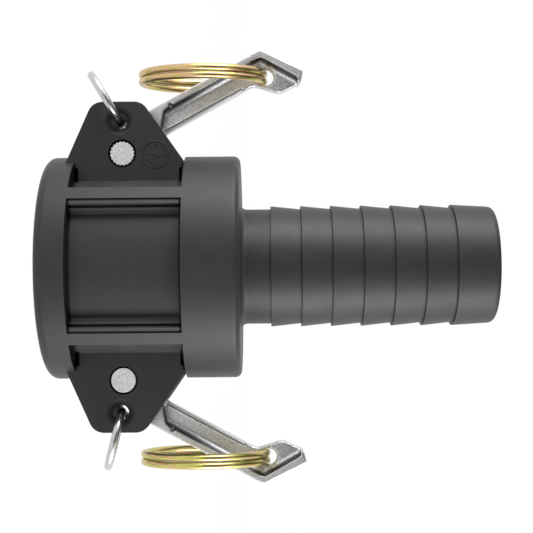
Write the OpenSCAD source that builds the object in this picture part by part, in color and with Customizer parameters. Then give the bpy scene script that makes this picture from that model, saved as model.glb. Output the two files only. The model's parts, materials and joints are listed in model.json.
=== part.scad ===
// Cam and groove coupling: female coupler with a hose shank, two cam arms,
// pull rings and safety rings. It stands on its mouth, axis along +Z.
// Millimetres. The pins run along Y, and the ears stand out along +X and -X.

/* [Socket] */
// Radius of the bore that takes the grooved adaptor
socket_r = 26.95; // [26:0.05:28]
// Depth of the bore, from the mouth face to the seal
socket_depth = 46; // [44:0.5:48]
// How far the seal's groove reaches past the bore's wall
seal_lip = 0.85; // [0.5:0.05:1.5]
// Radius of the hole in the seal
seal_hole_r = 20.65; // [19.5:0.05:22]
// Thickness of the seal
seal_t = 6.35; // [5:0.05:7]

/* [Shell] */
// How far the mouth flange and the rear collar stand out from the barrel
rim_h = 5.3; // [4.8:0.1:6.3]
// Height of the mouth flange
flange_h = 10; // [9:0.5:12]
// Rounding of the flange's shoulder at the mouth
shoulder_r = 3.2; // [2:0.1:4]
// Wall of the recessed barrel between flange and collar
barrel_wall = 5.25; // [4.6:0.05:5.6]
// Height at which the rear collar starts
collar_z = 46.3; // [45.5:0.1:47.5]
// Length of the rear collar
collar_h = 18.3; // [16:0.1:21]
// Rounding of the collar's edge
collar_round = 2.2; // [1:0.1:3]
// Distance from the axis plane to the middle of a rib
rib_x = 23.25; // [22.5:0.05:24]
// Width of a rib
rib_w = 3.7; // [3:0.1:4.5]

/* [Hose shank] */
// Radius of the hose bore
hose_bore_r = 16; // [15:0.1:17]
// Radius of the smooth neck
neck_r = 19.45; // [19:0.05:20]
// Crest radius of the barbs
barb_r = 20.5; // [20.1:0.05:21.5]
// Height of the first barb's edge
barb_z = 74.7; // [72:0.1:78]
// Distance from barb to barb
barb_pitch = 10.2; // [9:0.1:11]
// Number of barbs
barbs = 7; // [4:1:8]
// Overall height, mouth to hose end
overall_h = 150; // [148:0.5:158]

/* [Ears] */
// Distance of the ears' tops from the pivot pins
ear_top_out = 17.1; // [16.7:0.1:19]
// Width of the slot between two ears
slot_w = 15; // [14.8:0.1:16]
// Thickness of one ear
ear_t = 8; // [6.5:0.1:8.5]
// Rounding of the ears' corners
ear_round = 5; // [3:0.5:6]
// Radius of the safety hole
safety_hole_r = 2.7; // [2.6:0.05:3]
// Height of the safety hole
safety_z = 25; // [24.5:0.1:26]
// Distance of the safety hole from the pivot pins, away from the axis
safety_out = 10.7; // [10.5:0.1:11.5]

/* [Pins and arms] */
// Height of the pivot pins
pivot_z = 26; // [25.5:0.1:26.5]
// Distance of the pivot pins from the bore's wall
pivot_out = 10.35; // [10.05:0.05:11]
// Radius of a pivot pin
pin_r = 4; // [3.5:0.1:4.2]
// Angle of the left arm from the axis
arm_open_left = 28.5; // [26:0.5:30]
// Angle of the right arm from the axis
arm_open_right = 28.5; // [26:0.1:30]
// Radius of the cam disc
cam_r = 10.9; // [10.5:0.1:11.1]
// Offset of the cam disc from its pin, towards the axis
cam_offset = 2.9; // [2.5:0.1:3.1]
// Length from the pin to the eye
eye_t = 54.6; // [52:0.1:57]
// Thickness of the arm's outer flange
arm_flange_t = 2.2; // [1.8:0.1:2.6]
// Thickness of the arm's web
web_t = 4; // [3:0.1:5]

/* [Rings] */
// Outer diameter of a pull ring
pull_ring_d = 44; // [40:0.5:46]
// Wire diameter of a pull ring
pull_wire_d = 2.45; // [1.8:0.05:2.5]
// Outer diameter of a safety ring
safety_ring_d = 21.2; // [20.4:0.1:22]
// Wire diameter of a safety ring
safety_wire_d = 2.6; // [1.8:0.1:2.8]
// Lean of the left safety ring towards the mouth
safety_lean_left = 31; // [5:1:90]
// Lean of the right safety ring towards the mouth
safety_lean_right = 14.5; // [5:0.5:90]

/* [Hidden] */
$fn = 96;

over = 1;

barrel_r = socket_r + barrel_wall;
shell_r = barrel_r + rim_h;

seal_gap = 0.1;
seal_r = socket_r + seal_lip;
seal_round = 0.6;
seat_z = socket_depth + seal_t;
chamber_h = 3;
throat_h = 5;
mouth_chamfer = 0.8;

collar_end = collar_z + collar_h;
neck_fillet = 2.1;
barb_drop = 1.1;
last_barb_drop = 0.8;
barb_root_r = barb_r - barb_drop;
last_root_r = barb_r - last_barb_drop;
hose_end_round = 1.8;
last_barb_z = barb_z + (barbs - 1) * barb_pitch;

pivot_x = socket_r + pivot_out;
safety_x = pivot_x + safety_out;

// Ears: each foot is sunk into the flange or the collar, and into the barrel's wall.
ear_inner_y = slot_w / 2;
ear_outer_y = ear_inner_y + ear_t;
ear_top_x = pivot_x + ear_top_out;
ear_top_low = 9.7;
ear_top_high = 6.6;
ear_top_z = [pivot_z - ear_top_low, pivot_z + ear_top_high];
ear_foot_sink = [4.3, 2.6];
ear_foot_z = [flange_h - ear_foot_sink[0], collar_z + ear_foot_sink[1]];
ear_foot_in = [1.6, 1.2];
ear_foot_x = [barrel_r - ear_foot_in[0], barrel_r - ear_foot_in[1]];
ear_root_in = 7;
ear_root_x = socket_r - ear_root_in;
ear_root_step = 4;
relief_w = 1.6;
relief_depth = 2.5;
relief_in = 5.2;
relief_out = 0.3;
relief_x = [barrel_r - relief_in, barrel_r + relief_out];

pin_fit = 0.02;
arm_fit = 0.05;
pin_recess = 0.2;
pin_sink_gap = 0.4;
pin_sink_r = pin_r + pin_sink_gap;
pin_sink_depth = 1.4;
pin_l = 2 * (ear_outer_y - pin_recess);
knurl_l = 3;
knurl_teeth = 20;
knurl_cut_r = 0.45;

dish_w = 1.9;
dish_r = safety_hole_r + dish_w;
dish_depth = 1.4;
dish_ball_r = (dish_r * dish_r + dish_depth * dish_depth) / (2 * dish_depth);

cam_clear = 1.2;
cam_bore_gap = 0.4;
window_z = [pivot_z - cam_r - cam_clear, pivot_z + cam_offset + cam_r + cam_clear];

arm_slot_gap = 0.3;
arm_w = slot_w - 2 * arm_slot_gap;
arm_back = 9.6;
arm_front = 0.7;
arm_root = [2, 5];
arm_shoulder_t = 6.3;
arm_rim_w = 0.8;
arm_rim_h = 0.7;
arm_rim_end = 8;
cove_r = 1.9;
notch_at = 21;
notch_w = 1.1;
notch_depth = 1;
cam_flat_out = pivot_out - cam_bore_gap;
cam_flat_angle = 28;

// Arm's end, measured from the eye: peak of the back, point, heel, bulge and neck.
peak_t = 2.6;
point = [12, -3.8];
heel = [8.6, -6.2];
bulge_t = 1.5;
neck_t = -5;
eye_out = 1.2;
eye_wall = 3.9;
eye_play = 0.32;
bulge_wall = eye_wall + 0.4;

// Recess in the arm's side: where it starts, and its own peak and point.
pocket_t = 16.5;
pocket_mid_out = 2;
pocket_slant = [2, 2.5];
pocket_peak_t = 1.4;
pocket_point = [9, -4.6];
pocket_heel_t = 8;

turn_gap = 0.06;
jog_deg = 35;
turn_step = 10;
wire_sides = 10;
eye_r = pull_wire_d + turn_gap / 2 + eye_play;
pull_r = (pull_ring_d - pull_wire_d) / 2;
pull_sag = 0.55;
pull_twist = 2.7;
pull_step_at = 122;
safety_r = (safety_ring_d - safety_wire_d) / 2;
safety_slack = 0.25;
safety_reach = safety_r - safety_slack;
safety_twist_left = 2;
safety_twist_right = 4;
joint_gap = 0.15;
joint_slant = 55;

// Points of an outline whose corners are rounded. Each corner is [x, y, radius].
function arc_steps(r) = r > 0 ? 6 : 0;
function corner(before, at, after, r) =
    let (u = (before - at) / norm(before - at),
         v = (after - at) / norm(after - at),
         half = acos(max(-1, min(1, u * v))) / 2,
         mid = (u + v) / norm(u + v),
         centre = at + mid * r / sin(half),
         from = at + u * r / tan(half) - centre,
         to = at + v * r / tan(half) - centre,
         a0 = atan2(from[1], from[0]),
         turn = atan2(from[0] * to[1] - from[1] * to[0], from * to))
    [for (k = [0:arc_steps(r)])
        let (a = a0 + turn * k / arc_steps(r)) centre + r * [cos(a), sin(a)]];
function flat(p) = [p[0], p[1]];
function rounded(points) =
    let (n = len(points))
    [for (i = [0:n - 1])
        let (at = points[i], before = points[(i + n - 1) % n], after = points[(i + 1) % n])
        each at[2] > 0 ? corner(flat(before), flat(at), flat(after), at[2]) : [flat(at)]];

// Stands a flat drawing up: its x runs along Z, its y along X, its thickness along Y.
module upright() {
    rotate(a = -120, v = [1, 1, 1]) children();
}

// A wall of the upright drawing, from one Y to the other.
module wall(y0, y1) {
    upright() translate([0, 0, y0]) linear_extrude(y1 - y0) children();
}

module left_side() {
    mirror([1, 0, 0]) children();
}

// Takes the sharp corner off a profile: the round's centre is at the origin.
module round_off(r, sx, sy) {
    difference() {
        translate([sx > 0 ? 0 : -r - over, sy > 0 ? 0 : -r - over]) square(r + over);
        circle(r);
    }
}

// Half section of the shell, as turned: radius along x, height along y.
module shell_section() {
    difference() {
        union() {
            square([shell_r, flange_h]);
            square([barrel_r, collar_end]);
            translate([0, collar_z]) square([shell_r, collar_h]);
        }
        translate([shell_r - shoulder_r, shoulder_r]) round_off(shoulder_r, 1, -1);
        translate([shell_r - collar_round, collar_end - collar_round]) round_off(collar_round, 1, 1);
    }
    shank_section();
}

module shank_section() {
    translate([0, socket_depth]) square([neck_r, barb_z + over - socket_depth]);
    difference() {
        translate([0, collar_end - over]) square([neck_r + neck_fillet, neck_fillet + over]);
        translate([neck_r + neck_fillet, collar_end + neck_fillet]) circle(neck_fillet);
    }
    for (i = [0:barbs - 2])
        let (z = barb_z + i * barb_pitch)
        polygon([[0, z], [barb_r, z], [barb_root_r, z + barb_pitch + over / 10], [0, z + barb_pitch + over / 10]]);
    difference() {
        polygon([[0, last_barb_z], [barb_r, last_barb_z], [last_root_r, overall_h], [0, overall_h]]);
        translate([last_root_r - hose_end_round, overall_h - hose_end_round]) round_off(hose_end_round, 1, 1);
    }
}

// Half section of the hollow: socket, seal groove, chamber, throat and hose bore.
module hollow_section() {
    translate([0, -over]) square([socket_r, socket_depth + over]);
    polygon([[0, -mouth_chamfer], [socket_r + 2 * mouth_chamfer, -mouth_chamfer], [socket_r, mouth_chamfer],
             [0, mouth_chamfer]]);
    translate([0, socket_depth]) square([seal_r + seal_gap, seal_t]);
    translate([0, seat_z - over]) square([seal_hole_r, chamber_h + over]);
    polygon([[0, seat_z + chamber_h], [seal_hole_r, seat_z + chamber_h],
             [hose_bore_r, seat_z + chamber_h + throat_h], [0, seat_z + chamber_h + throat_h]]);
    translate([0, seat_z]) square([hose_bore_r, overall_h + over - seat_z]);
}

module ear_outline() {
    polygon(rounded([[ear_foot_z[0], ear_foot_x[0], 0], [ear_top_z[0], ear_top_x, ear_round],
                     [ear_top_z[1], ear_top_x, ear_round], [ear_foot_z[1], ear_foot_x[1], 0],
                     [ear_foot_z[1] - ear_root_step, ear_root_x, 0],
                     [ear_foot_z[0] + ear_root_step, ear_root_x, 0]]));
}

module ear_pair() {
    wall(ear_inner_y, ear_outer_y) ear_outline();
    wall(-ear_outer_y, -ear_inner_y) ear_outline();
}

// Small relief between an ear's foot and the flange or the collar.
module relief(z) {
    for (y = [ear_outer_y - relief_depth, -ear_outer_y - over])
        translate([relief_x[0], y, z])
            cube([relief_x[1] - relief_x[0], relief_depth + over, relief_w]);
}

module across(x, z, r) {
    translate([x, 0, z]) rotate([90, 0, 0]) cylinder(r = r, h = 4 * ear_outer_y, center = true);
}

// What is cut from one pair of ears: slot, cam window, pin seats and safety holes.
module ear_cuts() {
    translate([ear_root_x, -slot_w / 2, window_z[0]])
        cube([ear_top_x, slot_w, window_z[1] - window_z[0]]);
    across(pivot_x, pivot_z, pin_r + pin_fit);
    across(safety_x, safety_z, safety_hole_r);
    for (s = [-1, 1]) {
        translate([pivot_x, s * (ear_outer_y + (over - pin_sink_depth) / 2), pivot_z]) rotate([90, 0, 0])
            cylinder(r = pin_sink_r, h = over + pin_sink_depth, center = true);
        translate([safety_x, s * (ear_outer_y + dish_ball_r - dish_depth), safety_z]) sphere(dish_ball_r);
    }
    relief(flange_h);
    relief(collar_z - relief_w);
}

module rib(x) {
    intersection() {
        rotate_extrude() translate([socket_r + over, flange_h - over])
            square([shell_r - socket_r - over, collar_z - flange_h + 2 * over]);
        translate([x - rib_w / 2, -shell_r - over, 0]) cube([rib_w, 2 * shell_r + 2 * over, collar_end]);
    }
}

module coupler_body() {
    color([0.16, 0.16, 0.17])
    difference() {
        union() {
            rotate_extrude() shell_section();
            rib(rib_x);
            rib(-rib_x);
            ear_pair();
            left_side() ear_pair();
        }
        rotate_extrude() hollow_section();
        ear_cuts();
        left_side() ear_cuts();
    }
}

module seal_ring() {
    color([0.08, 0.08, 0.08])
    translate([0, 0, socket_depth]) rotate_extrude() difference() {
        translate([seal_hole_r, 0]) square([seal_r - seal_hole_r, seal_t]);
        for (z = [seal_round, seal_t - seal_round])
            translate([seal_hole_r + seal_round, z]) round_off(seal_round, -1, z < seal_t / 2 ? -1 : 1);
    }
}

// Side outline of the lever: x along the arm from the pin, y outwards, away from the shell.
module lever_outline() {
    polygon(rounded([[arm_root[0], arm_root[1], 0], [arm_shoulder_t, arm_back, 0.5],
                     [eye_t + peak_t, arm_back, 2.5], [eye_t + point[0], point[1], 0.8],
                     [eye_t + heel[0], heel[1], 0.8], [eye_t + bulge_t, eye_out - eye_r - bulge_wall, 4],
                     [eye_t + neck_t, arm_front, 4], [arm_root[0], arm_front, 0]]));
    difference() {
        translate([0, -cam_offset]) circle(cam_r);
        cam_flat();
    }
}

// Flat on the cam: it lies clear of the bore while the arm stands open, and its
// far corner swings into the adaptor's groove as the arm closes.
module cam_flat() {
    rotate(-cam_flat_angle) translate([-2 * cam_r, -cam_flat_out - 2 * cam_r]) square([4 * cam_r, 2 * cam_r]);
}

// Recess in each side of the lever, which leaves the back flange standing.
pocket_back = arm_back - arm_flange_t;
pocket_peak = [eye_t + pocket_peak_t, pocket_back];
pocket_end = [eye_t + pocket_point[0], pocket_point[1]];
module pocket_outline() {
    polygon(rounded([[pocket_t, arm_front - over, 0], [pocket_t - pocket_slant[0], pocket_mid_out, 1.5],
                     [pocket_t + pocket_slant[1], pocket_back, 1.5], [pocket_peak[0], pocket_peak[1], 2],
                     [pocket_end[0], pocket_end[1], 0.5], [eye_t + pocket_heel_t, heel[1] - over, 0],
                     [eye_t + neck_t, heel[1] - over, 0]]));
}

module both_faces() {
    children();
    mirror([0, 0, 1]) children();
}

// Cove between the web and the inner side of the flange, from one point to the next.
module cove(from, to) {
    run = to - from;
    translate([from[0], from[1], web_t / 2]) rotate([0, 0, atan2(run[1], run[0])])
        rotate([90, 0, 90]) linear_extrude(norm(run) + over) difference() {
            translate([-cove_r, -over / 2]) square([cove_r + over / 2, cove_r + over / 2]);
            translate([-cove_r, cove_r]) circle(cove_r);
        }
}

// Notch in the flange's inner side, near the pocket's start.
module flange_notch() {
    translate([notch_at, pocket_back - over, web_t / 2 + cove_r])
        cube([notch_w, notch_depth + over, arm_w]);
}

module cam_arm(open) {
    translate([pivot_x, 0, pivot_z]) upright() rotate([0, 0, open]) difference() {
        union() {
            linear_extrude(web_t, center = true) lever_outline();
            linear_extrude(arm_w, center = true) difference() {
                lever_outline();
                pocket_outline();
            }
            linear_extrude(web_t + 2 * arm_rim_h, center = true)
                translate([pocket_t - over, arm_front]) square([eye_t - arm_rim_end - pocket_t, arm_rim_w]);
            intersection() {
                linear_extrude(arm_w, center = true) lever_outline();
                both_faces() {
                    cove([pocket_t, pocket_back], pocket_peak);
                    cove(pocket_peak, pocket_end);
                }
            }
        }
        both_faces() flange_notch();
        cylinder(r = pin_r + arm_fit, h = 2 * arm_w, center = true);
        translate([eye_t, eye_out, 0]) cylinder(r = eye_r, h = 2 * arm_w, center = true);
    }
}

module cam_arm_left() {
    color([0.62, 0.62, 0.63]) left_side() cam_arm(arm_open_left);
}

module cam_arm_right() {
    color([0.62, 0.62, 0.63]) cam_arm(arm_open_right);
}

// Drive pin: plain at one end, knurled at the other. The knurl points along its own +Z.
module pin() {
    translate([0, 0, -pin_l / 2]) cylinder(r = pin_r, h = pin_l - knurl_l);
    translate([0, 0, pin_l / 2 - knurl_l]) linear_extrude(knurl_l) difference() {
        circle(pin_r);
        for (i = [0:knurl_teeth - 1])
            rotate(i * 360 / knurl_teeth) translate([pin_r + knurl_cut_r / 3, 0]) circle(r = knurl_cut_r, $fn = 16);
    }
}

module pivot_pin_left() {
    color([0.75, 0.75, 0.76]) translate([-pivot_x, 0, pivot_z]) rotate([90, 0, 0]) pin();
}

module pivot_pin_right() {
    color([0.75, 0.75, 0.76]) translate([pivot_x, 0, pivot_z]) rotate([-90, 0, 0]) pin();
}

// Split ring of two turns, flat on the xy plane. The wire steps from the lower
// turn to the upper one over a short jog, and its two ends butt against the jog.
function smooth(u) = let (v = max(0, min(1, u))) v * v * (3 - 2 * v);
function turn_level(a, step) = step * (smooth((a - 360 + jog_deg) / (2 * jog_deg)) - 0.5);
module split_ring(r, wire_d, sides) {
    step = wire_d + turn_gap;
    steps = round((720 - 2 * jog_deg) / turn_step);
    path = [for (i = [0:steps]) let (a = jog_deg + i * (720 - 2 * jog_deg) / steps) [a, turn_level(a, step)]];
    points = [for (p = path, k = [0:sides - 1])
        let (b = (k + 0.5) * 360 / sides, far = r + wire_d / 2 * cos(b))
        [far * cos(p[0]), far * sin(p[0]), p[1] + wire_d / 2 * sin(b)]];
    sides_of_tube = [for (i = [0:steps - 1], k = [0:sides - 1])
        let (m = (k + 1) % sides)
        [i * sides + k, i * sides + m, (i + 1) * sides + m, (i + 1) * sides + k]];
    start = [for (k = [sides - 1:-1:0]) k];
    end = [for (k = [0:sides - 1]) steps * sides + k];
    polyhedron(points, concat([start, end], sides_of_tube), convexity = 4);
}

// Pull ring, hanging straight down from the eye, with the step in its wire at the back
// and its front turned a little towards the axis.
module pull_ring(open) {
    eye_x = pivot_x + eye_t * sin(open) + eye_out * cos(open);
    eye_z = pivot_z + eye_t * cos(open) - eye_out * sin(open);
    translate([eye_x, 0, eye_z - pull_sag - pull_r]) rotate([0, 0, -pull_twist]) rotate([0, 90, 0])
        rotate([0, 0, pull_step_at]) split_ring(pull_r, pull_wire_d, wire_sides);
}

module pull_ring_left() {
    color([0.78, 0.68, 0.36]) left_side() pull_ring(arm_open_left);
}

module pull_ring_right() {
    color([0.78, 0.68, 0.36]) pull_ring(arm_open_right);
}

// One turn of thick wire, whose ends meet in a slanting joint at the front.
module jointed_ring(r, wire_d) {
    difference() {
        rotate_extrude() translate([r, 0]) circle(wire_d / 2);
        translate([0, -r, 0]) rotate([0, joint_slant, 0])
            cube([joint_gap, 2 * wire_d, 5 * wire_d], center = true);
    }
}

// Safety ring, through the front ear's hole and out over the ear's top, with its back
// turned a little towards the mouth.
module safety_ring(lean, twist) {
    translate([safety_x, -(ear_inner_y + ear_t / 2), safety_z]) rotate([0, lean, 0]) rotate([-twist, 0, 0])
        translate([safety_reach, 0, 0]) jointed_ring(safety_r, safety_wire_d);
}

module safety_ring_left() {
    color([0.85, 0.85, 0.86]) left_side() safety_ring(safety_lean_left, safety_twist_left);
}

module safety_ring_right() {
    color([0.85, 0.85, 0.86]) safety_ring(safety_lean_right, safety_twist_right);
}

coupler_body();
seal_ring();
cam_arm_left();
cam_arm_right();
pivot_pin_left();
pivot_pin_right();
pull_ring_left();
pull_ring_right();
safety_ring_left();
safety_ring_right();
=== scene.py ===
import bmesh
import bpy
import json
import math
from mathutils import Matrix, Vector

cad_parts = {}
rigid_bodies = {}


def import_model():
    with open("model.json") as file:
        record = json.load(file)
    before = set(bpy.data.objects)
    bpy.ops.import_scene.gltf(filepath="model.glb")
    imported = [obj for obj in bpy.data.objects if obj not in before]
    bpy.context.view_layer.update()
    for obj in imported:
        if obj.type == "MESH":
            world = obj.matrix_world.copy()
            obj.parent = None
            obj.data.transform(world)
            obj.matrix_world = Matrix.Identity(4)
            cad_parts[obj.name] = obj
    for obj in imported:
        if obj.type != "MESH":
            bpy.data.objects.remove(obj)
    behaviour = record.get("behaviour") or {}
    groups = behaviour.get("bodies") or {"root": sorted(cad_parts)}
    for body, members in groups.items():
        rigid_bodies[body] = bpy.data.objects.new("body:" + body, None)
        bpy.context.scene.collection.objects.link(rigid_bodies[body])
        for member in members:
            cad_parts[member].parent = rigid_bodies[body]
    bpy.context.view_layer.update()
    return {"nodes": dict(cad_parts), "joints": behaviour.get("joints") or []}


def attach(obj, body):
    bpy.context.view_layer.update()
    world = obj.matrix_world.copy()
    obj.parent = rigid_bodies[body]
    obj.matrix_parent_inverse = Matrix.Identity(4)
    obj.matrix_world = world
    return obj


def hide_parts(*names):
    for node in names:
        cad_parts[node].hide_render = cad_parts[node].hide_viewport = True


for leftover in list(bpy.data.objects):
    bpy.data.objects.remove(leftover)
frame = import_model()

# The camera looks along +Y at the pins' ends. The coupling stands on its mouth and the
# photograph shows it lying with the mouth to the left, so the camera's right is +Z and
# its up is -X. It is turned a little around the coupling's axis, and rolled a little.
scene = bpy.context.scene
MM = 0.001
camera_distance = 416 * MM
camera_height = 73.2 * MM
field_of_view = math.radians(24.65)
around_axis = math.radians(1.3)
roll = math.radians(-0.5)
camera_data = bpy.data.cameras.new("photo_camera")
camera_data.sensor_fit = "AUTO"
camera_data.angle = field_of_view
camera_data.clip_start = 0.02
camera_data.clip_end = 20
camera = bpy.data.objects.new("photo_camera", camera_data)
scene.collection.objects.link(camera)
lying = Matrix(((0, -1, 0), (0, 0, -1), (1, 0, 0))).to_4x4()
standpoint = Matrix.Rotation(around_axis, 4, "Z") @ Matrix.Translation((0, -camera_distance, camera_height))
camera.matrix_world = standpoint @ lying @ Matrix.Rotation(roll, 4, "Z")
scene.camera = camera
scene.view_settings.view_transform = "Standard"


# Plain white studio: the world is white to the camera and to mirror rays, and lights the
# object evenly. Two long softboxes stand beyond the arms, and grey cards behind the
# camera and beyond the shank darken the shell's middle and the edges towards the shank.
world_light = 0.36
side_light_place = (0.6, -0.19, 0.12)
side_light_aim = (0, 0, 0.07)
side_light_size = (0.42, 0.6)
side_light_watts = 6.2
card_grey = (0.08, 0.08, 0.08, 1)
dark_card_place = (0, -0.62, 0.1)
dark_card_sides = (0.62, 1.1)
end_card_place = (0, -0.1, 0.55)
end_card_sides = (0.5, 0.6)
floor_size = 8
floor_white = (0.8, 0.8, 0.8, 1)
floor_glow = 1.12
floor_glow_share = 0.85


def new_material(name):
    material = bpy.data.materials.new(name)
    material.use_nodes = True
    tree = material.node_tree
    return material, tree.nodes, tree.links, tree.nodes["Principled BSDF"]


def computed(nodes, links, operation, *values):
    """A Math node's result, from numbers and from sockets."""
    math_node = nodes.new("ShaderNodeMath")
    math_node.operation = operation
    for i, value in enumerate(values):
        if isinstance(value, (int, float)):
            math_node.inputs[i].default_value = value
        else:
            links.new(value, math_node.inputs[i])
    return math_node.outputs[0]


def seen_straight(nodes, links):
    """1 for rays from the camera, from a mirror or through glass."""
    path = nodes.new("ShaderNodeLightPath").outputs
    either = computed(nodes, links, "MAXIMUM", path["Is Camera Ray"], path["Is Glossy Ray"])
    return computed(nodes, links, "MAXIMUM", either, path["Is Transmission Ray"])


def softbox(name, place, aim, size, power):
    data = bpy.data.lights.new(name, "AREA")
    data.shape = "RECTANGLE"
    data.size, data.size_y = size
    data.energy = power
    lamp = bpy.data.objects.new(name, data)
    scene.collection.objects.link(lamp)
    away = (Vector(aim) - Vector(place)).to_track_quat("-Z", "Y")
    lamp.matrix_world = Matrix.Translation(place) @ away.to_matrix().to_4x4()


world = bpy.data.worlds.new("studio")
world.use_nodes = True
scene.world = world
air = world.node_tree
around = air.nodes["Background"]
around.inputs["Color"].default_value = (1, 1, 1, 1)
around.inputs["Strength"].default_value = world_light
white = air.nodes.new("ShaderNodeBackground")
white.inputs["Color"].default_value = (1, 1, 1, 1)
white.inputs["Strength"].default_value = 1
choose = air.nodes.new("ShaderNodeMixShader")
air.links.new(seen_straight(air.nodes, air.links), choose.inputs["Fac"])
air.links.new(around.outputs[0], choose.inputs[1])
air.links.new(white.outputs[0], choose.inputs[2])
air.links.new(choose.outputs[0], air.nodes["World Output"].inputs["Surface"])

for side in (-1, 1):
    place = (side * side_light_place[0], *side_light_place[1:])
    softbox(f"side_light_{side}", place, side_light_aim, side_light_size, side_light_watts)

card_paint, nodes, links, shader = new_material("card_grey")
shader.inputs["Base Color"].default_value = card_grey
shader.inputs["Roughness"].default_value = 1
shader.inputs["Specular IOR Level"].default_value = 0
behind_camera = Matrix.Translation(dark_card_place) @ Matrix.Rotation(math.pi / 2, 4, "X")
beyond_shank = Matrix.Translation(end_card_place)
cards = (("dark_card", behind_camera, dark_card_sides), ("end_card", beyond_shank, end_card_sides))
for name, place, sides in cards:
    bpy.ops.mesh.primitive_plane_add(size=1)
    card = bpy.context.object
    card.name = name
    card.data.transform(place @ Matrix.Diagonal((*sides, 1, 1)))
    card.visible_camera = False
    card.visible_shadow = False
    card.data.materials.append(card_paint)

bpy.ops.mesh.primitive_plane_add(size=floor_size, location=(0, 0, 0))
floor = bpy.context.object
floor.name = "floor"
floor_paint, nodes, links, shader = new_material("floor_white")
shader.inputs["Base Color"].default_value = floor_white
shader.inputs["Roughness"].default_value = 0.9
shader.inputs["Specular IOR Level"].default_value = 0
glow = nodes.new("ShaderNodeEmission")
glow.inputs["Strength"].default_value = floor_glow
to_eye = nodes.new("ShaderNodeMixShader")
share = computed(nodes, links, "MULTIPLY", seen_straight(nodes, links), floor_glow_share)
links.new(share, to_eye.inputs["Fac"])
links.new(shader.outputs[0], to_eye.inputs[1])
links.new(glow.outputs[0], to_eye.inputs[2])
links.new(to_eye.outputs[0], nodes["Material Output"].inputs["Surface"])
floor.data.materials.append(floor_paint)


# Shell: one injection moulding in black glass-filled plastic. Flange, barrel, ribs,
# collar, ears and barbed shank come out of the mould in one piece, with its edges
# broken by a small radius and a faint grain left by the mould's walls.
plastic_dark = (0.024, 0.024, 0.0245)
plastic_light = (0.036, 0.036, 0.037)
# Painted shade: a near-black colour, with more roughness and less gloss, laid on the gaps round the pins,
# the dishes round the safety holes and the end walls of the barrel's windows.
painted_shade_black = (0.004, 0.004, 0.004, 1)
pin_hole_mm = (4.5, 4.75)
dish_mm = (3.2, 4.7)
dish_shade_share = 0.6
recess_mm = (31, 31.5, 37.2, 37.35)
window_middle = 28.15 * MM
end_wall_mm = (17.0, 17.5, 18.3, 18.4)
end_wall_shade_share = 0.8
satin_roughness = (0.42, 0.56)
painted_shade_roughness = 0.8
plastic_gloss = 0.34
painted_shade_gloss_loss = 0.32
shell_edge_mm = 0.35
edge_angle = math.radians(28)
same_point = 0.002 * MM
flat_angle = math.radians(0.2)


def mapped(nodes, links, value, source=(0, 1), target=(0, 1)):
    """The value taken evenly from one range to another, and held at its ends."""
    shift = nodes.new("ShaderNodeMapRange")
    shift.inputs["From Min"].default_value, shift.inputs["From Max"].default_value = source
    shift.inputs["To Min"].default_value, shift.inputs["To Max"].default_value = target
    links.new(value, shift.inputs["Value"])
    return shift.outputs["Result"]


def faded(nodes, links, value, none_mm, full_mm):
    """0 at one distance and 1 at the other."""
    return mapped(nodes, links, value, source=(none_mm * MM, full_mm * MM))


def surface_grain():
    """Node group: a fine grain of the given size as a height, and slow cloudiness as a mask."""
    group = bpy.data.node_groups.new("surface_grain", "ShaderNodeTree")
    for label, value in (("Grain Size", 0.4), ("Cloud Size", 12.0)):
        socket = group.interface.new_socket(name=label, in_out="INPUT", socket_type="NodeSocketFloat")
        socket.default_value = value
    for label in ("Height", "Cloud", "Speckle"):
        group.interface.new_socket(name=label, in_out="OUTPUT", socket_type="NodeSocketFloat")
    nodes, links = group.nodes, group.links
    given = nodes.new("NodeGroupInput")
    put = nodes.new("NodeGroupOutput")
    place = nodes.new("ShaderNodeTexCoord")

    def noise(size_socket, detail, rough):
        cloud = nodes.new("ShaderNodeTexNoise")
        cloud.inputs["Detail"].default_value = detail
        cloud.inputs["Roughness"].default_value = rough
        links.new(place.outputs["Object"], cloud.inputs["Vector"])
        links.new(computed(nodes, links, "DIVIDE", 1 / MM, size_socket), cloud.inputs["Scale"])
        return cloud.outputs["Fac"]

    fine = noise(given.outputs["Grain Size"], detail=3, rough=0.6)
    slow = noise(given.outputs["Cloud Size"], detail=4, rough=0.55)
    links.new(fine, put.inputs["Height"])
    links.new(slow, put.inputs["Cloud"])
    links.new(mapped(nodes, links, fine, source=(0.35, 0.68)), put.inputs["Speckle"])
    return group


GRAIN = surface_grain()


def grained(nodes, grain_mm, cloud_mm):
    group = nodes.new("ShaderNodeGroup")
    group.node_tree = GRAIN
    group.inputs["Grain Size"].default_value = grain_mm
    group.inputs["Cloud Size"].default_value = cloud_mm
    return group


def blend_colours(nodes, links, factor, dark, light):
    mix = nodes.new("ShaderNodeMix")
    mix.data_type = "RGBA"
    mix.inputs["A"].default_value = (*dark, 1)
    mix.inputs["B"].default_value = (*light, 1)
    links.new(factor, mix.inputs["Factor"])
    return mix.outputs["Result"]


def darkened(nodes, links, mask, tone, dark):
    """The tone where the mask is 0, and the dark colour where it is 1."""
    mix = nodes.new("ShaderNodeMix")
    mix.data_type = "RGBA"
    mix.inputs["B"].default_value = dark
    links.new(tone, mix.inputs["A"])
    links.new(mask, mix.inputs["Factor"])
    return mix.outputs["Result"]


def bumped(nodes, links, height, depth_mm, strength):
    bump = nodes.new("ShaderNodeBump")
    bump.inputs["Distance"].default_value = depth_mm * MM
    bump.inputs["Strength"].default_value = strength
    links.new(height, bump.inputs["Height"])
    return bump.outputs["Normal"]


def hinge_at(joint_name):
    """The place of a joint at rest."""
    joint = next(j for j in frame["joints"] if j["name"] == joint_name)
    return Vector(joint["pos_m"])


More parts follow.
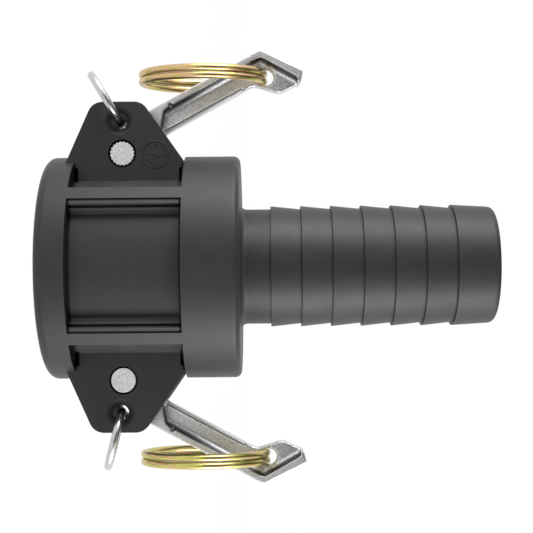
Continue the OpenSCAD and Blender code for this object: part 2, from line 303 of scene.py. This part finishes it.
def black_plastic():
    material, nodes, links, shader = new_material("black_plastic")
    grain = grained(nodes, grain_mm=0.7, cloud_mm=5)
    tone = blend_colours(nodes, links, grain.outputs["Cloud"], plastic_dark, plastic_light)
    place = nodes.new("ShaderNodeTexCoord")
    apart = nodes.new("ShaderNodeSeparateXYZ")
    links.new(place.outputs["Object"], apart.inputs["Vector"])
    x, y, z = (apart.outputs[axis] for axis in "XYZ")

    def worked(operation, *values):
        return computed(nodes, links, operation, *values)

    def distance(first, second):
        squares = (worked("MULTIPLY", side, side) for side in (first, second))
        return worked("SQRT", worked("ADD", *squares))

    def near_axis(centre, inner_mm, outer_mm):
        """1 within the inner radius of an axis along Y through both sides' centre, 0 beyond the outer."""
        off_x = worked("SUBTRACT", worked("ABSOLUTE", x), centre.x)
        off_z = worked("SUBTRACT", z, centre.z)
        return faded(nodes, links, distance(off_x, off_z), outer_mm, inner_mm)

    def between(value, outer_low, inner_low, inner_high, outer_high):
        """1 between the inner two distances, 0 outside the outer two."""
        rising = faded(nodes, links, value, outer_low, inner_low)
        return worked("MULTIPLY", rising, faded(nodes, links, value, outer_high, inner_high))

    # Painted shade: the colour is darkened in the pin gaps, the safety-hole dishes and the window end
    # walls.
    pin_gap_shade = near_axis(hinge_at("arm_right_pivot"), *pin_hole_mm)
    dish_shade = worked("MULTIPLY", near_axis(hinge_at("safety_right_swing"), *dish_mm), dish_shade_share)
    in_recess = between(distance(x, y), *recess_mm)
    at_end_walls = between(worked("ABSOLUTE", worked("SUBTRACT", z, window_middle)), *end_wall_mm)
    end_wall_shade = worked("MULTIPLY", worked("MULTIPLY", in_recess, at_end_walls), end_wall_shade_share)
    painted_shade = worked("MAXIMUM", worked("MAXIMUM", pin_gap_shade, dish_shade), end_wall_shade)
    links.new(darkened(nodes, links, painted_shade, tone, painted_shade_black), shader.inputs["Base Color"])
    satin = mapped(nodes, links, grain.outputs["Cloud"], target=satin_roughness)
    roughness = worked("MAXIMUM", satin, worked("MULTIPLY", painted_shade, painted_shade_roughness))
    links.new(roughness, shader.inputs["Roughness"])
    gloss = worked("SUBTRACT", plastic_gloss, worked("MULTIPLY", painted_shade, painted_shade_gloss_loss))
    links.new(gloss, shader.inputs["Specular IOR Level"])
    rough_skin = bumped(nodes, links, grain.outputs["Height"], depth_mm=0.04, strength=0.8)
    links.new(rough_skin, shader.inputs["Normal"])
    return material


def solid_piece(name, shape):
    """The finished shape as a smooth object of that name."""
    mesh = bpy.data.meshes.new(name)
    shape.to_mesh(mesh)
    shape.free()
    mesh.shade_smooth()
    piece = bpy.data.objects.new(name, mesh)
    scene.collection.objects.link(piece)
    return piece


def break_edges(piece, width_mm, segments, angle):
    bevel = piece.modifiers.new("broken_edges", "BEVEL")
    bevel.width = width_mm * MM
    bevel.segments = segments
    bevel.limit_method = "ANGLE"
    bevel.angle_limit = angle


def dress(node, name, body, material, edge_mm=0, cast_mm=0):
    """A smoothed copy of a node's own mesh, with its edges broken, that stands for the node."""
    shape = bmesh.new()
    shape.from_mesh(frame["nodes"][node].data)
    bmesh.ops.remove_doubles(shape, verts=shape.verts, dist=same_point)
    bmesh.ops.dissolve_limit(
        shape, angle_limit=flat_angle, use_dissolve_boundaries=False,
        verts=shape.verts, edges=shape.edges, delimit=set(),
    )
    piece = solid_piece(name, shape)
    piece.data.set_sharp_from_angle(angle=edge_angle)
    if edge_mm:
        break_edges(piece, edge_mm, segments=2, angle=edge_angle)
        piece.modifiers.new("even_faces", "WEIGHTED_NORMAL").keep_sharp = True
    if cast_mm:
        casting = piece.modifiers.new("casting", "REMESH")
        casting.mode = "VOXEL"
        casting.voxel_size = cast_mm * MM
        casting.use_smooth_shade = True
        tumbled = piece.modifiers.new("tumbled", "SMOOTH")
        tumbled.factor = 0.5
        tumbled.iterations = 7
    piece.data.materials.append(material)
    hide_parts(node)
    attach(piece, body)


PLASTIC = black_plastic()
dress("coupler_body", "moulded_shell", "coupler", PLASTIC, shell_edge_mm)


# Ledges: in each window of the barrel a narrow step runs along both ribs, with a
# groove and a fillet at its foot. They come out of the same mould as the shell, in its
# black plastic.
ledge_section = (
    (15.8, -27.4), (16.6, -27.7), (17.6, -27.9), (18.6, -28.5), (18.75, -27.4), (19.25, -27.4),
    (19.3, -30.7), (19.6, -31.2), (21.5, -30.05), (21.5, -23.5), (16.4, -26.5),
)
ledge_low = 9.9 * MM
ledge_high = 46.4 * MM
ledge_edge_mm = 0.3


def lofted(shape, outlines):
    """A solid through outlines of points, with a face across each end."""
    loops = [[shape.verts.new(point) for point in outline] for outline in outlines]
    for here, after in zip(loops, loops[1:]):
        for k in range(len(here)):
            shape.faces.new((here[k], here[k - 1], after[k - 1], after[k]))
    shape.faces.new(loops[0])
    shape.faces.new(loops[-1][::-1])


ledges = bmesh.new()
for x_side in (-1, 1):
    for y_side in (-1, 1):
        section = [(x_side * x * MM, y_side * y * MM) for x, y in ledge_section]
        lofted(ledges, [[(x, y, end) for x, y in section] for end in (ledge_low, ledge_high)])
bmesh.ops.recalc_face_normals(ledges, faces=ledges.faces)
window_ledges = solid_piece("window_ledges", ledges)
break_edges(window_ledges, ledge_edge_mm, segments=3, angle=math.radians(10))
window_ledges.modifiers.new("joined_corners", "WELD").merge_threshold = same_point
window_ledges.modifiers.new("even_faces", "WEIGHTED_NORMAL")
window_ledges.data.materials.append(PLASTIC)
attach(window_ledges, "coupler")


# Date dial: the round mark of a mould insert on the front of the upper ear, with a
# raised rim, twelve ticks and an arrow. It is part of the moulding, in the shell's
# black plastic.
dial_middle = Vector((-36.9, -15.51, 37.0)) * MM
dial_depth = 0.42 * MM
rim_outer_r = 4.6 * MM
rim_inner_r = 4.18 * MM
rim_points = 72
tick_mm = (3.0, 3.75, 0.48)
quarter_tick_mm = (3.0, 3.75, 0.72)
arrow_shaft_mm = (-1.7, 1.1, 0.44)
arrow_head_mm = ((1.1, -0.65), (2.1, 0), (1.1, 0.65))
arrow_turn = math.radians(69)
dial_edge_mm = 0.14
dial = bmesh.new()
flat_on_ear = Matrix.Rotation(math.pi / 2, 4, "X")


def dial_place(turn):
    """The dial's middle, with X turned by that angle from +X towards +Z."""
    return Matrix.Translation(dial_middle) @ Matrix.Rotation(-turn, 4, "Y")


def raised_bar(near_mm, far_mm, width_mm, turn):
    """A bar on the dial's radius, between two distances from the dial's middle."""
    middle = Matrix.Translation(((near_mm + far_mm) / 2 * MM, 0, 0))
    sides = Matrix.Diagonal(((far_mm - near_mm) * MM, dial_depth, width_mm * MM, 1))
    bmesh.ops.create_cube(dial, size=1, matrix=dial_place(turn) @ middle @ sides)


back_face = Matrix.Translation((0, dial_depth / 2, 0))
for radius in (rim_outer_r, rim_inner_r):
    circle_place = dial_place(0) @ back_face @ flat_on_ear
    bmesh.ops.create_circle(dial, cap_ends=False, segments=rim_points, radius=radius, matrix=circle_place)
bmesh.ops.bridge_loops(dial, edges=dial.edges[:])
grown = bmesh.ops.extrude_face_region(dial, geom=dial.faces[:])["geom"]
rim_front = [part for part in grown if isinstance(part, bmesh.types.BMVert)]
bmesh.ops.translate(dial, verts=rim_front, vec=(0, -dial_depth, 0))
for hour in range(12):
    raised_bar(*(tick_mm if hour % 3 else quarter_tick_mm), math.radians(30 * hour))
raised_bar(*arrow_shaft_mm, arrow_turn)
arrow_place = dial_place(arrow_turn) @ back_face
lofted(dial, [
    [arrow_place @ Vector((along * MM, level, across * MM)) for along, across in arrow_head_mm]
    for level in (0, -dial_depth)
])
bmesh.ops.recalc_face_normals(dial, faces=dial.faces)
date_dial = solid_piece("date_dial", dial)
date_dial.data.shade_flat()
break_edges(date_dial, dial_edge_mm, segments=2, angle=math.radians(30))
date_dial.data.materials.append(PLASTIC)
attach(date_dial, "coupler")


# Seal: a flat moulded ring of black rubber, pressed into the groove at the bottom
# of the socket.
rubber_dark = (0.01, 0.01, 0.01)
rubber_light = (0.022, 0.022, 0.022)


def seal_rubber():
    material, nodes, links, shader = new_material("seal_rubber")
    grain = grained(nodes, grain_mm=0.5, cloud_mm=6)
    tone = blend_colours(nodes, links, grain.outputs["Cloud"], rubber_dark, rubber_light)
    links.new(tone, shader.inputs["Base Color"])
    links.new(mapped(nodes, links, grain.outputs["Cloud"], target=(0.6, 0.75)), shader.inputs["Roughness"])
    rough_skin = bumped(nodes, links, grain.outputs["Height"], depth_mm=0.04, strength=0.5)
    links.new(rough_skin, shader.inputs["Normal"])
    return material


dress("seal_ring", "rubber_seal", "coupler", seal_rubber())


# Cam arms: investment castings in stainless steel, blasted to an even grain and
# tumbled, so that their edges are bright and soft. The steep walls of the pockets
# are darkened in the colour, as painted shade.
steel_dark = (0.54, 0.54, 0.545)
steel_light = (0.88, 0.88, 0.885)
# Painted shade: the dark colour laid on the steep walls inside the pockets.
pocket_shade_dark = (0.1, 0.1, 0.103, 1)
arm_lean = math.radians(28.5)
tip_lean = arm_lean - math.radians(52.6)
arm_soft_mm = 0.3
pocket_rim_mm = (8.6, 8.2)
pocket_web_mm = (0.9, 1.3)
pocket_end_mm = (51, 49)
corner_mm = (4.6, 5.0)
tip_rim_mm = (5.4, 5.0)
tip_corner_mm = (2.8, 3.2)
steep_range = (0.97, 0.25)


def cast_steel():
    material, nodes, links, shader = new_material("cast_steel")
    grain = grained(nodes, grain_mm=0.45, cloud_mm=7)
    tone = blend_colours(nodes, links, grain.outputs["Speckle"], steel_dark, steel_light)
    place = nodes.new("ShaderNodeTexCoord")
    slope = nodes.new("ShaderNodeSeparateXYZ")
    links.new(place.outputs["Normal"], slope.inputs["Vector"])

    def worked(operation, *values):
        return computed(nodes, links, operation, *values)

    def vector_worked(operation, source, vector=(0, 0, 0)):
        step = nodes.new("ShaderNodeVectorMath")
        step.operation = operation
        step.inputs[1].default_value = vector
        links.new(source, step.inputs[0])
        return step.outputs

    def measured(start, direction):
        """The distance from a joint's place in the right arm, along a direction, in both arms."""
        from_start = vector_worked("SUBTRACT", both_arms, start)["Vector"]
        return vector_worked("DOT_PRODUCT", from_start, direction)["Value"]

    def within(value, none_mm, full_mm):
        return faded(nodes, links, value, none_mm, full_mm)

    both_arms = vector_worked("ABSOLUTE", place.outputs["Object"])["Vector"]
    pivot, eye = hinge_at("arm_right_pivot"), hinge_at("pull_right_swing")
    outwards = measured(pivot, (math.cos(arm_lean), 0, -math.sin(arm_lean)))
    along = measured(pivot, (math.sin(arm_lean), 0, math.cos(arm_lean)))
    past_eye = measured(eye, (math.cos(tip_lean), 0, -math.sin(tip_lean)))
    under_rims = worked("MULTIPLY", within(outwards, *pocket_rim_mm), within(past_eye, *tip_rim_mm))
    along_web = worked("MULTIPLY", within(outwards, *pocket_web_mm), within(along, *pocket_end_mm))
    round_corner = worked("MAXIMUM", within(outwards, *corner_mm), within(past_eye, *tip_corner_mm))
    in_pocket = worked("MULTIPLY", under_rims, worked("MAXIMUM", along_web, round_corner))
    # Painted shade: the steep walls inside the pockets are darkened in the colour.
    level_part = worked("ABSOLUTE", slope.outputs["Y"])
    steep = mapped(nodes, links, level_part, source=steep_range)
    pocket_shaded = darkened(nodes, links, worked("MULTIPLY", in_pocket, steep), tone, pocket_shade_dark)
    links.new(pocket_shaded, shader.inputs["Base Color"])
    shader.inputs["Metallic"].default_value = 1
    links.new(mapped(nodes, links, grain.outputs["Cloud"], target=(0.3, 0.44)), shader.inputs["Roughness"])
    rough_skin = bumped(nodes, links, grain.outputs["Height"], depth_mm=0.06, strength=0.7)
    links.new(rough_skin, shader.inputs["Normal"])
    return material


STEEL = cast_steel()
for hand in ("left", "right"):
    dress(f"cam_arm_{hand}", f"cast_arm_{hand}", f"arm_{hand}", STEEL, cast_mm=arm_soft_mm)


# Pivot pins: cut steel rod, driven in from one side. Their ends are rough as sawn
# and blasted, and paler than the arms.
pin_dark = (0.58, 0.58, 0.58)
pin_light = (0.92, 0.92, 0.92)
pin_edge_mm = 0.15


def pin_steel():
    material, nodes, links, shader = new_material("pin_steel")
    grain = grained(nodes, grain_mm=0.55, cloud_mm=3)
    tone = blend_colours(nodes, links, grain.outputs["Speckle"], pin_dark, pin_light)
    links.new(tone, shader.inputs["Base Color"])
    shader.inputs["Metallic"].default_value = 0.6
    shader.inputs["Roughness"].default_value = 0.55
    rough_skin = bumped(nodes, links, grain.outputs["Height"], depth_mm=0.1, strength=0.8)
    links.new(rough_skin, shader.inputs["Normal"])
    return material


PIN = pin_steel()
for hand in ("left", "right"):
    dress(f"pivot_pin_{hand}", f"rough_pin_{hand}", "coupler", PIN, pin_edge_mm)


# Pull rings: two turns of spring wire, like a key ring, zinc plated and yellow
# chromated. The film is thin and uneven, so it shows bands of yellow, green and pink.
pull_wire_r = 1.225 * MM
pull_mean_r = 20.775 * MM
pull_sag = 0.55 * MM
pull_twist = math.radians(2.7)
turn_gap = 0.06 * MM
wire_start = 122
wire_steps = 144
jog_deg = 35
film_repeat = (5, 2.6, 1)
film_bands = (
    (0.30, (0.36, 0.25, 0.08)), (0.40, (0.62, 0.38, 0.17)), (0.47, (0.70, 0.46, 0.27)),
    (0.54, (0.50, 0.44, 0.14)), (0.60, (0.55, 0.58, 0.14)), (0.66, (0.74, 0.48, 0.28)),
    (0.78, (0.52, 0.36, 0.12)),
)
right_film_extra = 0.06


def split_ring(name, centre, ring_axes, side):
    """Two turns of round wire in a ring's own axes, with a step from one turn to the next."""
    rise = 2 * pull_wire_r + turn_gap
    sweep = 720 - 2 * jog_deg
    path = bpy.data.curves.new(name, "CURVE")
    path.dimensions = "3D"
    path.bevel_depth = pull_wire_r
    path.bevel_resolution = 5
    path.use_fill_caps = True
    spline = path.splines.new("POLY")
    spline.points.add(wire_steps)
    for i, point in enumerate(spline.points):
        turn = jog_deg + sweep * i / wire_steps
        part = min(1, max(0, (turn - 360 + jog_deg) / (2 * jog_deg)))
        eased = part * part * (3 - 2 * part)
        level = side * rise * (eased - 0.5)
        angle = math.radians(turn + wire_start)
        spot = Vector((pull_mean_r * math.cos(angle), pull_mean_r * math.sin(angle), level))
        point.co = (*(centre + ring_axes @ spot), 1)
    holder = bpy.data.objects.new(name, path)
    scene.collection.objects.link(holder)
    bpy.context.view_layer.update()
    made = holder.evaluated_get(bpy.context.evaluated_depsgraph_get())
    mesh = bpy.data.meshes.new_from_object(made)
    bpy.data.objects.remove(holder)
    mesh.name = name
    mesh.shade_smooth()
    ring = bpy.data.objects.new(name, mesh)
    scene.collection.objects.link(ring)
    return ring


def map_wire(mesh, centre, ring_axes, shift):
    """UV map: u runs along the ring, v around the wire. A shift gives each ring its own film."""
    layer = mesh.uv_layers.new(name="wire")
    back = ring_axes.transposed()
    for loop in mesh.loops:
        spot = back @ (mesh.vertices[loop.vertex_index].co - centre)
        along = math.atan2(spot.y, spot.x) / math.tau
        normal = back @ mesh.vertices[loop.vertex_index].normal
        outward = Vector((spot.x, spot.y, 0)).normalized()
        across = math.atan2(normal.z, normal.dot(outward)) / math.tau
        layer.data[loop.index].uv = (along + shift, across + 0.5)


def yellow_chromate():
    material, nodes, links, shader = new_material("yellow_plating")
    where = nodes.new("ShaderNodeUVMap")
    where.uv_map = "wire"
    stretch = nodes.new("ShaderNodeMapping")
    stretch.inputs["Scale"].default_value = film_repeat
    links.new(where.outputs["UV"], stretch.inputs["Vector"])
    streak = nodes.new("ShaderNodeTexNoise")
    streak.inputs["Scale"].default_value = 2.2
    streak.inputs["Detail"].default_value = 4
    streak.inputs["Roughness"].default_value = 0.6
    links.new(stretch.outputs["Vector"], streak.inputs["Vector"])
    band = nodes.new("ShaderNodeValToRGB")
    band.color_ramp.interpolation = "EASE"
    ramp = band.color_ramp.elements
    for element, (spot, colour) in zip(ramp, (film_bands[0], film_bands[-1])):
        element.position, element.color = spot, (*colour, 1)
    for spot, colour in film_bands[1:-1]:
        ramp.new(spot).color = (*colour, 1)
    place = nodes.new("ShaderNodeTexCoord")
    apart = nodes.new("ShaderNodeSeparateXYZ")
    links.new(place.outputs["Object"], apart.inputs["Vector"])
    right_hand = computed(nodes, links, "GREATER_THAN", apart.outputs["X"], 0)
    film = computed(nodes, links, "MULTIPLY_ADD", right_hand, right_film_extra, streak.outputs["Fac"])
    links.new(film, band.inputs["Fac"])
    links.new(band.outputs["Color"], shader.inputs["Base Color"])
    shader.inputs["Metallic"].default_value = 1
    shader.inputs["Roughness"].default_value = 0.3
    return material


CHROMATE = yellow_chromate()
for hand, side in (("left", -1), ("right", 1)):
    centre = hinge_at(f"pull_{hand}_swing") - Vector((0, 0, pull_sag + pull_mean_r))
    down = Vector((0, 0, -1))
    towards_back = Vector((side * math.sin(pull_twist), math.cos(pull_twist), 0))
    ring_axes = Matrix((down, towards_back, down.cross(towards_back))).transposed()
    ring = split_ring(f"wire_pull_{hand}", centre, ring_axes, side)
    map_wire(ring.data, centre, ring_axes, shift=0.5 * side)
    ring.data.materials.append(CHROMATE)
    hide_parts(f"pull_ring_{hand}")
    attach(ring, f"pull_{hand}")


# Safety rings: one turn of thick wire each, in bright nickel, closed by a slanting
# joint at the front, through the outer hole of each front ear. Each leans towards the
# mouth by its own angle and has its back turned a little.
nickel_dark = (0.5, 0.5, 0.51)
nickel_light = (0.62, 0.62, 0.63)
safety_wire_r = 1.3 * MM
safety_mean_r = 9.3 * MM
safety_reach = 9.05 * MM
joint_gap = 0.15 * MM
joint_slant = math.radians(55)
sections, facets = 180, 28
safety_places = (("left", -1, 31, 2), ("right", 1, 14.5, 4))


def bright_nickel():
    material, nodes, links, shader = new_material("nickel_plating")
    grain = grained(nodes, grain_mm=1.2, cloud_mm=4)
    tone = blend_colours(nodes, links, grain.outputs["Cloud"], nickel_dark, nickel_light)
    links.new(tone, shader.inputs["Base Color"])
    shader.inputs["Metallic"].default_value = 1
    links.new(mapped(nodes, links, grain.outputs["Cloud"], target=(0.2, 0.3)), shader.inputs["Roughness"])
    return material


def slanted_section(step):
    """Points around the wire at that step of the turn, all slanted like the joint."""
    points = []
    for k in range(facets):
        around_wire = math.tau * k / facets
        reach = safety_mean_r + safety_wire_r * math.cos(around_wire)
        height = safety_wire_r * math.sin(around_wire)
        half_gap = joint_gap / (2 * math.cos(joint_slant) * reach)
        start = math.asin(height * math.tan(joint_slant) / reach) + half_gap
        angle = start + (math.tau - 2 * half_gap) * step / sections
        points.append(Vector((safety_reach + reach * math.sin(angle), -reach * math.cos(angle), height)))
    return points


NICKEL = bright_nickel()
for hand, side, lean_deg, twist_deg in safety_places:
    hole = hinge_at(f"safety_{hand}_swing")
    leaning = Matrix.Rotation(math.radians(lean_deg), 3, "Y")
    turned = leaning @ Matrix.Rotation(-math.radians(twist_deg), 3, "X")
    placed = Matrix.Diagonal((side, 1, 1)) @ turned
    wire = bmesh.new()
    lofted(wire, [[hole + placed @ point for point in slanted_section(i)] for i in range(sections + 1)])
    bmesh.ops.recalc_face_normals(wire, faces=wire.faces)
    ring = solid_piece(f"wire_safety_{hand}", wire)
    ring.data.set_sharp_from_angle(angle=math.radians(40))
    ring.data.materials.append(NICKEL)
    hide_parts(f"safety_ring_{hand}")
    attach(ring, f"safety_{hand}")
